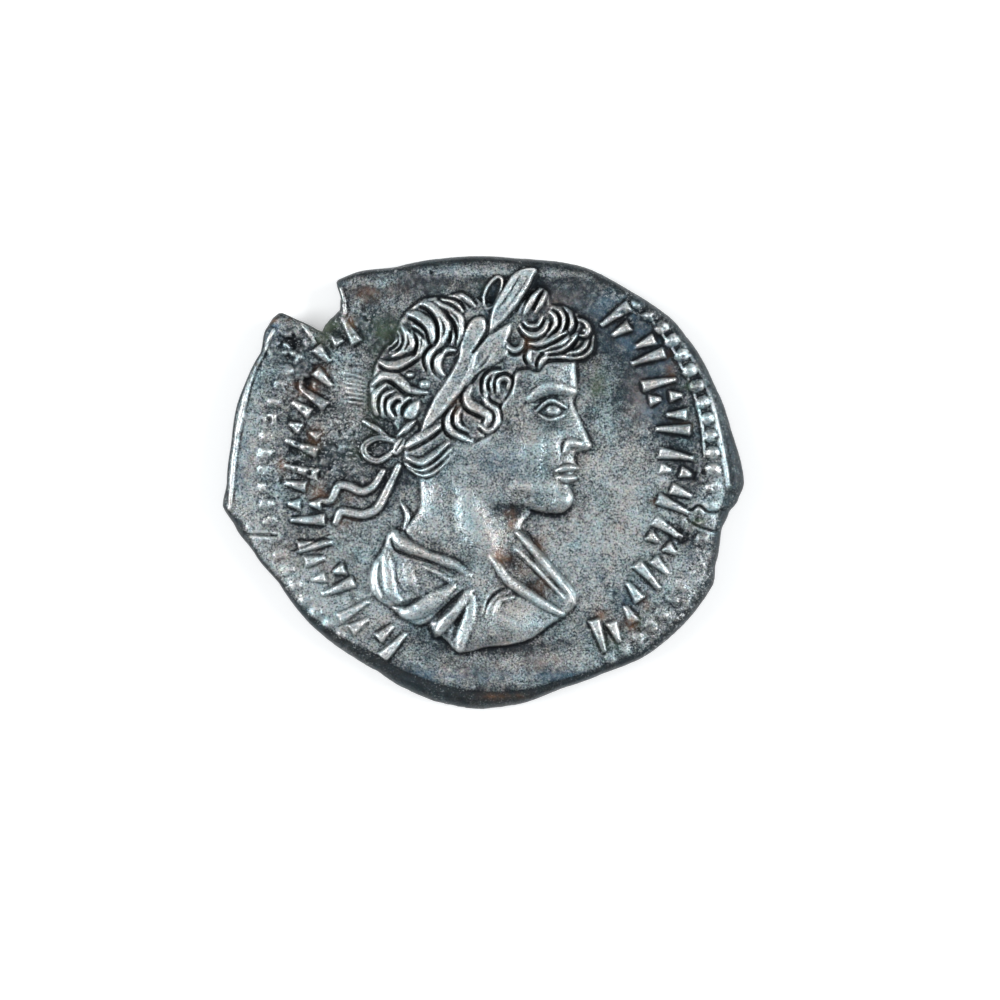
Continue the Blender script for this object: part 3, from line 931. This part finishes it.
toning = {
    # x, y, half width, half height, strength: below zero is darker
    "broad": [
        (-2.0, 7.8, 4.0, 0.7, -1.25), (2.8, 7.6, 1.6, 0.9, -0.9), (5.0, 5.9, 1.7, 1.5, -1.2),
        (6.7, 4.2, 1.1, 1.8, -1.0), (7.3, 2.0, 0.9, 1.6, -0.7), (5.2, 3.4, 0.9, 1.3, -0.45),
        (-7.35, 5.2, 0.8, 0.7, -1.0), (-6.8, 3.8, 0.8, 0.6, -0.9), (-4.1, 5.5, 1.0, 1.1, -1.0),
        (-4.6, 7.0, 1.0, 0.7, -0.4), (-6.0, 1.6, 1.7, 1.6, -0.45), (-4.2, 2.0, 0.6, 1.6, -0.6),
        (-4.9, 0.2, 1.0, 0.7, -0.5), (-3.4, 0.2, 0.8, 0.5, -0.6), (-6.6, 0.7, 1.2, 0.8, -0.3),
        (-5.0, 3.7, 0.5, 0.65, 1.2), (-5.9, 5.0, 0.5, 0.4, 0.2), (3.2, 5.6, 1.3, 0.9, -0.5),
        (2.2, 6.6, 0.9, 0.6, -0.2), (0.9, 3.9, 0.9, 0.7, -0.5), (-2.6, 5.4, 1.2, 1.2, -0.25),
        (-9.2, 1.0, 0.8, 3.6, 0.55), (-8.8, -1.6, 0.8, 0.8, 0.2), (-6.0, -5.0, 1.9, 1.1, 1.2),
        (-7.0, -3.4, 1.2, 1.2, 0.75), (-4.2, -1.2, 1.4, 0.8, 0.2), (-6.9, -2.0, 0.8, 0.5, -0.4),
        (-1.3, -0.9, 1.1, 1.2, 0.5), (-0.4, -1.2, 0.45, 0.8, 1.4), (0.2, -2.5, 0.4, 0.6, 1.5),
        (1.2, 1.0, 1.3, 1.0, 0.4), (-3.8, -3.4, 0.8, 1.0, 0.75), (-2.3, -4.9, 1.0, 0.6, 0.5),
        (-1.9, -2.4, 1.1, 0.4, 0.15), (1.1, -5.1, 1.2, 0.8, 0.55), (-0.6, -4.4, 0.7, 1.2, 0.25),
        (2.5, -3.0, 0.5, 0.6, 1.8), (0.9, -6.3, 2.3, 0.30, -1.0), (-2.4, -5.9, 0.9, 0.4, -0.7),
        (2.5, -1.1, 1.2, 0.3, -0.8), (0.9, -1.1, 0.9, 0.28, -0.6), (4.6, -2.4, 1.6, 1.6, 0.8),
        (5.1, 0.4, 1.1, 1.5, 0.5),
        (6.75, 0.45, 0.45, 0.6, 1.0), (6.5, -1.4, 0.7, 0.4, 0.7), (7.4, -2.1, 0.7, 0.4, -1.0),
        (5.5, -4.4, 0.8, 0.7, -0.4), (7.6, -3.6, 0.9, 1.2, 0.35), (7.9, 0.2, 0.5, 0.7, -0.8),
        (8.9, 1.0, 0.45, 3.0, 0.7), (8.9, -0.3, 0.5, 0.6, 0.5), (7.6, 5.1, 0.5, 0.9, 0.8),
        (5.9, 6.85, 1.3, 0.25, 1.4), (0.0, -8.0, 3.5, 0.3, -0.5), (3.6, -6.6, 0.9, 0.4, 0.3),
        (-4.3, 7.7, 1.0, 0.2, 1.5), (-1.0, 8.1, 2.2, 0.16, 1.8), (2.6, 8.0, 1.4, 0.16, 1.6),
        (3.8, -5.4, 0.6, 0.4, -0.3), (0.2, -7.2, 3.2, 0.4, -0.35), (0.95, -2.95, 0.3, 0.35, -0.7),
        (1.6, -3.5, 0.38, 0.4, -0.3), (2.3, -4.1, 0.36, 0.36, -0.3), (1.9, 4.1, 0.8, 0.4, 0.5),
        (2.9, 0.2, 0.7, 0.9, 0.4), (0.3, 5.2, 0.5, 0.7, 0.5), (-1.4, 3.6, 0.6, 0.7, 0.4),
        (1.2, 7.2, 0.5, 0.7, 0.5), (3.2, -4.2, 0.4, 0.5, 1.5), (1.9, -4.6, 0.8, 0.3, 0.9),
    ],
    "rust": [
        (-4.4, 7.2, 0.45, 0.30, 1.0), (-6.5, 1.8, 0.30, 0.35, 1.0), (-6.5, -0.25, 0.40, 0.35, 1.2),
        (0.95, -1.45, 0.22, 0.40, 1.2), (0.55, -2.8, 0.25, 0.45, 1.3), (-5.15, 6.1, 0.20, 0.3, 1.2),
        (-6.9, 3.6, 0.6, 0.3, 0.8), (5.6, -5.4, 0.25, 0.3, 1.0), (4.5, -5.1, 0.25, 0.25, 0.9),
        (-1.2, 2.9, 0.3, 0.3, 0.7), (6.35, -0.85, 0.25, 0.25, 0.9), (2.2, -2.5, 0.25, 0.5, 0.8),
        (1.6, 5.3, 0.25, 0.3, 0.8), (-5.3, -1.5, 0.3, 0.2, 0.8), (-5.5, -0.6, 0.5, 0.2, 0.5),
        (6.2, -4.7, 0.2, 0.3, 0.9), (7.6, 2.2, 0.35, 0.2, 0.7), (7.1, 4.4, 0.2, 0.5, 0.6),
        (-7.8, 0.6, 0.2, 0.4, 0.7), (0.8, -8.2, 0.7, 0.12, 1.0), (-7.9, 6.2, 0.4, 0.08, 0.9),
        (5.1, -1.7, 0.3, 0.3, 0.5), (2.3, -4.0, 0.3, 0.4, 0.5), (-6.2, 4.3, 0.4, 0.2, 0.5),
        (1.4, -3.35, 0.3, 0.3, 0.45), (2.0, -3.85, 0.3, 0.3, 0.35), (0.85, -2.75, 0.2, 0.3, 0.7),
    ],
    "green": [
        (4.3, 3.7, 0.35, 0.6, 1.0), (-3.9, 5.7, 0.7, 0.6, 1.0), (-6.05, 5.85, 0.42, 0.45, 2.0),
        (-4.3, 3.1, 0.35, 1.1, 0.8), (4.9, -0.6, 0.8, 0.5, 0.3), (6.1, -5.3, 0.5, 0.4, 0.7),
        (-6.6, 1.2, 0.5, 0.3, 0.6), (8.2, -1.5, 0.35, 0.2, 0.9), (-7.2, -3.1, 0.3, 0.2, 0.7),
        (6.1, -2.6, 0.3, 0.4, 0.7), (-5.2, -5.6, 0.3, 0.25, 0.6), (4.8, -6.2, 0.5, 0.25, 0.7),
        (-5.1, 1.2, 0.4, 0.5, 0.5), (7.8, 3.7, 0.2, 0.15, 1.0), (-0.2, 7.5, 0.5, 0.3, 0.3),
    ],
    "blue": [
        (5.0, 6.7, 1.0, 0.45, 1.3), (5.5, 5.6, 0.9, 0.6, 0.9), (-8.2, 5.9, 0.35, 0.5, 0.8),
        (0.6, 0.9, 1.1, 0.9, 0.6), (7.0, 5.0, 0.4, 0.7, 1.0), (0.4, 6.6, 0.6, 1.0, 0.5),
        (-3.0, -7.4, 2.5, 0.25, 1.2), (3.2, -7.4, 2.2, 0.2, 1.0), (-9.35, 1.2, 0.35, 2.4, 0.6),
        (6.3, 3.2, 0.5, 1.2, 0.9), (-1.2, 8.1, 3.0, 0.2, 0.4), (-3.4, -3.6, 0.8, 0.9, 0.45),
        (-2.2, -5.1, 0.9, 0.35, 0.6), (-1.1, 4.3, 0.8, 0.9, 0.4), (4.2, -3.0, 0.9, 0.8, 0.3),
        (6.7, -0.8, 0.5, 0.2, 0.7), (7.9, -3.2, 0.4, 0.6, 0.5), (-7.0, -1.4, 0.4, 0.25, 0.9),
        (-5.6, -6.3, 0.8, 0.3, 0.7), (5.7, -4.5, 0.6, 0.5, 0.8), (-7.2, 1.4, 0.5, 0.4, 0.5),
        (-5.2, 0.3, 0.4, 0.2, 0.6), (-1.9, 0.1, 0.6, 0.4, 0.3),
    ],
    "flecked": [
        (-5.5, 1.6, 1.7, 1.7, 1.0), (-5.3, 4.6, 0.8, 0.6, 0.8), (-7.6, 5.4, 0.7, 0.6, 0.7),
        (-7.6, 3.7, 0.6, 0.9, 0.7), (-7.3, 0.4, 0.9, 0.8, 0.7), (8.1, -3.6, 0.7, 1.3, 1.0),
        (7.2, -5.2, 0.7, 0.6, 0.9), (6.0, -6.1, 0.8, 0.5, 0.8), (8.5, -0.4, 0.5, 0.7, 0.7),
        (-8.3, 0.0, 0.3, 2.2, 0.6), (5.6, -5.2, 0.5, 0.5, 0.6), (-7.3, -3.7, 0.4, 0.8, 0.7),
        (-4.6, 6.3, 0.7, 0.5, 0.7), (-5.4, 6.2, 0.5, 0.9, 0.6), (6.2, 6.4, 1.3, 0.3, 0.8),
        (5.0, 7.2, 1.2, 0.25, 0.7), (-2.5, 8.05, 2.5, 0.15, 0.8), (1.5, 8.2, 1.5, 0.12, 0.6),
        (7.3, -1.3, 0.5, 0.4, 0.4), (-4.4, -5.3, 0.6, 0.5, 0.4), (6.2, 1.7, 0.5, 0.8, 0.6),
    ],
    "warm": [
        (-0.1, -1.4, 0.35, 0.9, 0.9), (0.35, -2.6, 0.35, 0.7, 1.0), (1.7, 1.7, 0.6, 0.5, 0.6),
        (1.9, -2.9, 0.4, 0.8, 0.7), (-6.0, -2.6, 0.9, 0.7, 0.6), (1.0, -5.2, 1.1, 0.7, 0.3),
        (0.5, -7.3, 1.8, 0.4, 0.5), (-2.6, 7.5, 1.2, 0.4, 0.3), (6.1, 2.6, 0.5, 0.6, 0.5),
        (-8.9, 0.9, 0.3, 0.8, 0.7), (-6.3, -4.6, 0.5, 0.3, 0.9),
        (-5.5, -3.4, 0.7, 0.5, 0.7), (-7.6, -2.8, 0.6, 0.4, 0.6), (3.6, -1.8, 0.8, 0.6, 0.5),
        (5.4, -0.7, 0.5, 0.4, 0.5), (-4.8, -5.6, 0.7, 0.3, 0.6), (2.5, -6.8, 1.2, 0.3, 0.6),
        (-5.0, 3.6, 0.5, 0.6, 0.6), (5.9, 3.6, 0.4, 0.8, 0.5), (3.0, 6.9, 1.0, 0.4, 0.5),
        (-0.3, 5.4, 0.4, 0.4, 0.5), (3.4, -3.7, 0.3, 0.6, 0.6),
    ],
}
dirt = {
    "fine": 0.06, "fineDepth": 0.020,  # width of the blur, and how far under it counts in full
    "wide": 0.28, "wideDepth": 0.22, "wideHeight": 0.30,
    "most": 1.3,
    "cleaned": 0.6, "cleanedRange": (0.35, 1.15),  # the light places keep less dirt
    "form": 0.45, "formGain": 4.5, "formMost": 0.8,  # the large forms of the relief, worn on top
    # height, size, seed, octaves
    "even": 0.85, "uneven": (0.35, 0.45, 59, 3),
    "mottle": 0.55, "mottles": ((0.5, 0.9, 41, 3), (0.6, 0.17, 43, 2)),
    "onRim": (0.25, 0.0, -0.55),  # hollow, crest and tone
    "rimMottle": 0.5,
    "rimOnReverse": 0.3, "filmsOnReverse": 0.1,
    "nearEdge": 0.10,
}


def surfaceMasks(heights, broad):
    # Hollow is how far the height lies under its own blur, crest how far over, each in two sizes.
    # Tone is the broad toning, plus a mottle, plus how far the large forms stand over their blur.
    fineGap = softened(heights, dirt["fine"]) - heights
    wideGap = softened(heights, dirt["wide"]) - heights
    hollow = np.clip(fineGap, 0, 1) / dirt["fineDepth"] + np.clip(wideGap, 0, 1) / dirt["wideDepth"]
    crest = np.clip(-fineGap, 0, 1) / dirt["fineDepth"] + np.clip(-wideGap, 0, 1) / dirt["wideHeight"]
    uneven = dirt["even"] + waves(dirt["uneven"])
    mottle = sum(waves(row) for row in dirt["mottles"])
    form = dirt["formGain"] * (heights - softened(heights, dirt["form"]))
    form = np.clip(form, -dirt["formMost"], dirt["formMost"])
    form *= np.clip(heights / 0.2 - 0.8, 0, 1)  # none on the field
    hollow = np.clip(hollow, 0, dirt["most"])
    hollow *= np.clip(1 - dirt["cleaned"] * broad, *dirt["cleanedRange"]) * uneven
    crest = np.clip(crest, 0, dirt["most"]) * (2 * dirt["even"] - uneven)
    return hollow, crest, broad + dirt["mottle"] * mottle + form


# A dark line where the broad rim at the bottom meets the face, its middle and half in degrees
edgeLine = {"middle": 262, "half": 56, "inward": 0.02, "width": 0.10, "dirt": 1.3}


def buildCoin():
    # The mesh of both faces and the rim, with its masks sampled at every point.
    obverse = obverseHeights()
    print("obverse drawn")
    reverse = reverseHeights()
    print("reverse drawn")
    points, faces, middle, topCount, lowCount = coinSurface(obverse, reverse)
    print("coin surface:", len(faces), "triangles")
    x, y = points[:, 0], points[:, 1]
    isTop = np.arange(len(points)) < topCount
    isLow = (np.arange(len(points)) >= topCount) & (np.arange(len(points)) < topCount + lowCount)
    isRim = ~isTop & ~isLow
    topMasks = surfaceMasks(obverse, patches(toning["broad"]))
    lowMasks = surfaceMasks(reverse, np.zeros(gridX.shape))
    masks = {}
    for name, topLayer, lowLayer, rimValue in zip(
        ("hollow", "crest", "tone"), topMasks, lowMasks, dirt["onRim"]
    ):
        values = np.full(len(points), rimValue)
        values[isTop] = sample(topLayer, x[isTop], y[isTop])
        values[isLow] = sample(lowLayer, -x[isLow], y[isLow])
        masks[name] = values
    for seed, name in enumerate(("rust", "green", "blue", "warm", "flecked")):
        speckle = 0.7 + 0.6 * softNoise(gridX, gridY, 0.30, 47 + seed, 3)
        layer = np.clip(patches(toning[name]) * speckle, 0, 1)
        masks[name] = np.where(isLow, dirt["filmsOnReverse"], sample(layer, x, y))
    degrees = np.degrees(np.arctan2(y, x))
    inward = edgeRadii(degrees)[1] - np.hypot(x, y)
    beside = (np.mod(degrees, 360) - edgeLine["middle"]) / edgeLine["half"]
    line = np.exp(-(((inward - edgeLine["inward"]) / edgeLine["width"]) ** 2) - beside**4) * ~isLow
    masks["hollow"] = np.clip(masks["hollow"] + edgeLine["dirt"] * line, 0, dirt["most"])
    nearEdge = np.clip(1 - inward / dirt["nearEdge"], 0, 1)
    masks["rim"] = np.where(isRim, 1.0, np.where(isTop, nearEdge, dirt["rimOnReverse"]))
    masks["tone"] += isRim * dirt["rimMottle"] * softNoise(x + points[:, 2], y - points[:, 2], 0.22, 53, 3)
    points[:, :2] -= middle
    coin = meshFrom("struckCoin", points * mm, faces)
    for name, values in masks.items():
        addAttribute(coin, name, values)
    return coin


# Materials

class Signal:
    # A socket that can be added, multiplied and so on; each sum adds its Math node.
    def __init__(self, finish, socket):
        self.finish = finish
        self.socket = socket

    def join(self, operation, a, b):
        return self.finish.node("ShaderNodeMath", {"operation": operation}, {0: a, 1: b})

    def __add__(self, other):
        return self.join("ADD", self, other)

    def __sub__(self, other):
        return self.join("SUBTRACT", self, other)

    def __rsub__(self, other):
        return self.join("SUBTRACT", other, self)

    def __mul__(self, other):
        return self.join("MULTIPLY", self, other)

    def limited(self):
        return self.finish.node("ShaderNodeClamp", {}, {"Value": self})

    __radd__ = __add__
    __rmul__ = __mul__


class Finish:
    # A material under construction.
    def __init__(self, name):
        self.material = bpy.data.materials.new(name)
        self.material.use_nodes = True
        self.tree = self.material.node_tree
        self.shader = self.tree.nodes["Principled BSDF"]

    def node(self, kind, settings, inputs, output=0):
        made = self.tree.nodes.new(kind)
        for key, value in settings.items():
            setattr(made, key, value)
        for key, value in inputs.items():
            self.plug(made.inputs[key], value)
        return Signal(self, made.outputs[output])

    def plug(self, socket, value):
        if isinstance(value, Signal):
            self.tree.links.new(value.socket, socket)
        else:
            socket.default_value = value

    def attribute(self, name):
        return self.node("ShaderNodeAttribute", {"attribute_name": name}, {}, "Fac")

    def mixed(self, share, a, b, blend="MIX"):
        kinds = {"data_type": "RGBA", "blend_type": blend}
        return self.node("ShaderNodeMix", kinds, {0: share, 6: a, 7: b}, 2)

    def setShader(self, **inputs):
        for key, value in inputs.items():
            self.plug(self.shader.inputs[key.replace("_", " ")], value)


silver = {
    "toned": (0.034, 0.044, 0.054, 1),
    "clean": (0.47, 0.525, 0.54, 1),
    "dark": (0.014, 0.017, 0.021, 1),
    "bright": (0.88, 0.92, 0.93, 1),
    "teal": (0.74, 1.06, 1.12, 1),  # tints, multiplied in
    "mauve": (1.16, 0.98, 0.88, 1),
    "rust": (0.22, 0.120, 0.070, 1),
    "green": (0.085, 0.120, 0.075, 1),
    "blue": (0.10, 0.185, 0.265, 1),
    "warm": (0.54, 0.46, 0.43, 1),
    "rim": (0.042, 0.050, 0.055, 1),
    "under": (("blue", 0.70), ("warm", 0.50)),  # films under crest and dirt, with their shares
    "over": (("rim", 0.85), ("green", 0.70)),
    "metallic": 0.9,
    "roughness": 0.40, "roughHollow": 0.25, "roughBlotch": 0.15,
    # metres
    "grainSize": 0.000075, "grainDepth": 0.000022, "blotchSize": 0.0009, "tintSize": 0.00030,
    "cloudSize": 0.0017,
    "middle": 0.49, "byTone": 0.58, "byBlotch": 1.6,  # how light the metal is
    "grainContrast": 8.0, "grainOnDark": 0.16, "grainOnLight": 0.54, "fleckDark": 0.25,
    "crest": 0.45, "crestGrain": 0.9,
    "hollow": 1.30, "hollowGrain": 0.4, "hollowMost": 0.94,
    "rustLeast": 0.30, "rustTint": 0.8,
    "tintShare": 0.5, "tintContrast": 5.0, "grainColour": 0.22,
    "glints": 0.7, "flakes": 0.8, "specks": 0.6,  # shares of the single grains
}


def silverFinish():
    # Toned and clean metal mixed by tone and grain, then films, bright crests, dark hollows, green
    # and rust, two sizes of tint, and single bright and dark grains.
    finish = Finish("tonedSilver")
    place = finish.node("ShaderNodeTexCoord", {}, {}, "Object")

    def noise(size, detail, roughness, output=0):
        values = {"Vector": place, "Scale": 1 / size, "Detail": detail, "Roughness": roughness}
        return finish.node("ShaderNodeTexNoise", {}, values, output)

    grain = noise(silver["grainSize"], 2.0, 0.7)
    blotch = noise(silver["blotchSize"], 5.0, 0.7)
    tint = noise(silver["tintSize"], 3.0, 0.7)
    cloud = noise(silver["cloudSize"], 4.0, 0.6)
    fleckColour = noise(silver["tintSize"] / 3, 2.0, 0.6, 1)
    hollow = finish.attribute("hollow")
    crest = finish.attribute("crest")
    flecked = finish.attribute("flecked")
    sparkle = (grain - 0.5) * silver["grainContrast"]
    flake = (noise(silver["grainSize"] * 1.6, 2.0, 0.6) - 0.5) * silver["grainContrast"]
    light = silver["middle"] + silver["byTone"] * finish.attribute("tone")
    light = (light + (blotch - 0.5) * silver["byBlotch"]).limited()
    grainShare = silver["grainOnDark"] + silver["grainOnLight"] * light
    grained = (light + sparkle * grainShare - flecked * silver["fleckDark"]).limited()
    colour = finish.mixed(grained, silver["toned"], silver["clean"])
    for name, share in silver["under"]:
        colour = finish.mixed(finish.attribute(name) * share, colour, silver[name])
    share = (crest * (silver["crest"] + silver["crestGrain"] * (grain - 0.3))).limited()
    colour = finish.mixed(share, colour, silver["bright"])
    share = (hollow * (silver["hollow"] - silver["hollowGrain"] * grain)).limited()
    colour = finish.mixed(share * silver["hollowMost"], colour, silver["dark"])
    for name, share in silver["over"]:
        colour = finish.mixed(finish.attribute(name) * share, colour, silver[name])
    share = finish.attribute("rust") * (silver["rustLeast"] + silver["rustTint"] * tint)
    colour = finish.mixed(share, colour, silver["rust"])
    for shade in (tint, cloud):
        for name, side in (("mauve", shade - 0.5), ("teal", 0.5 - shade)):
            share = (side * silver["tintContrast"]).limited() * silver["tintShare"]
            colour = finish.mixed(share, colour, silver[name], "MULTIPLY")
    colour = finish.mixed(silver["grainColour"], colour, fleckColour, "OVERLAY")
    for share, name in (
        ((sparkle - 0.8).limited() * light * silver["glints"], "bright"),
        ((flake - 0.45).limited() * flecked * silver["flakes"], "bright"),
        ((-0.8 - sparkle).limited() * silver["specks"], "dark"),
    ):
        colour = finish.mixed(share, colour, silver[name])
    bump = finish.node("ShaderNodeBump", {}, {
        "Strength": 1.0, "Distance": silver["grainDepth"], "Height": grain + 0.8 * tint,
    })
    roughness = silver["roughness"] + silver["roughHollow"] * hollow.limited()
    finish.setShader(
        Base_Color=colour,
        Metallic=silver["metallic"],
        Roughness=roughness + silver["roughBlotch"] * (blotch - 0.5),
        Normal=bump,
    )
    return finish.material


paper = {"colour": (0.93, 0.93, 0.93, 1), "roughness": 0.9, "glow": 0.3}


def floorFinish():
    # White paper that glows a little, so that the background stays white.
    finish = Finish("paleFloor")
    finish.setShader(Base_Color=paper["colour"], Roughness=paper["roughness"])
    finish.setShader(Emission_Color=(1, 1, 1, 1), Emission_Strength=paper["glow"])
    return finish.material


coin = buildCoin()
coin.data.materials.append(silverFinish())
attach(coin, "root")
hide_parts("coin")
print("coin dressed")


# Floor, light and camera

studio = {
    "floorSize": 0.8,
    "sideEnergy": 0.6, "sideSize": 0.16, "sideAway": 0.24, "sideAhead": 0.02, "sideUp": 0.15,
    "sideColour": (0.97, 0.99, 1.0),
    "topEnergy": 0.10, "topSize": 0.14, "topUp": 0.30,
    "world": 0.30, "worldColour": (0.93, 0.97, 1.0, 1),
    "pictureScale": 26.05,  # pixels to a millimetre
    "middlePixel": (483.5, 482.5),  # where the coin's middle shows in a picture of 1000 pixels
    "lens": 100.0, "sensor": 36.0, "aimUp": 1.0,
}

floorMesh = bpy.data.meshes.new("floor")
half = studio["floorSize"] / 2
floorMesh.from_pydata(
    [(-half, -half, 0), (half, -half, 0), (half, half, 0), (-half, half, 0)], [], [(0, 1, 2, 3)]
)
floor = bpy.data.objects.new("floor", floorMesh)
floor.data.materials.append(floorFinish())
bpy.context.scene.collection.objects.link(floor)


def areaLight(name, place, size, energy, colour=(1, 1, 1)):
    # A square light that faces the middle of the coin.
    data = bpy.data.lights.new(name, "AREA")
    data.shape = "SQUARE"
    data.size = size
    data.energy = energy
    data.color = colour
    light = bpy.data.objects.new(name, data)
    light.location = place
    light.rotation_euler = (-Vector(place)).to_track_quat("-Z", "Y").to_euler()
    bpy.context.scene.collection.objects.link(light)


for name, side in (("leftLight", -1), ("rightLight", 1)):
    place = (side * studio["sideAway"], studio["sideAhead"], studio["sideUp"])
    areaLight(name, place, studio["sideSize"], studio["sideEnergy"], studio["sideColour"])
areaLight("topLight", (0, 0, studio["topUp"]), studio["topSize"], studio["topEnergy"])

world = bpy.data.worlds.new("studio")
bpy.context.scene.world = world
world.use_nodes = True
background = world.node_tree.nodes["Background"]
background.inputs["Color"].default_value = studio["worldColour"]
background.inputs["Strength"].default_value = studio["world"]

cameraData = bpy.data.cameras.new("camera")
cameraData.lens = studio["lens"]
cameraData.sensor_width = studio["sensor"]
cameraData.clip_start = 0.005
cameraData.clip_end = 5.0
camera = bpy.data.objects.new("camera", cameraData)
frameWidth = 1000 / studio["pictureScale"]
away = frameWidth * studio["lens"] / studio["sensor"]
camera.location = (
    (500 - studio["middlePixel"][0]) / studio["pictureScale"] * mm,
    (studio["middlePixel"][1] - 500) / studio["pictureScale"] * mm,
    (away + studio["aimUp"]) * mm,
)
bpy.context.scene.collection.objects.link(camera)
bpy.context.scene.camera = camera
bpy.context.scene.view_settings.view_transform = "Standard"
print("floor, light and camera placed")
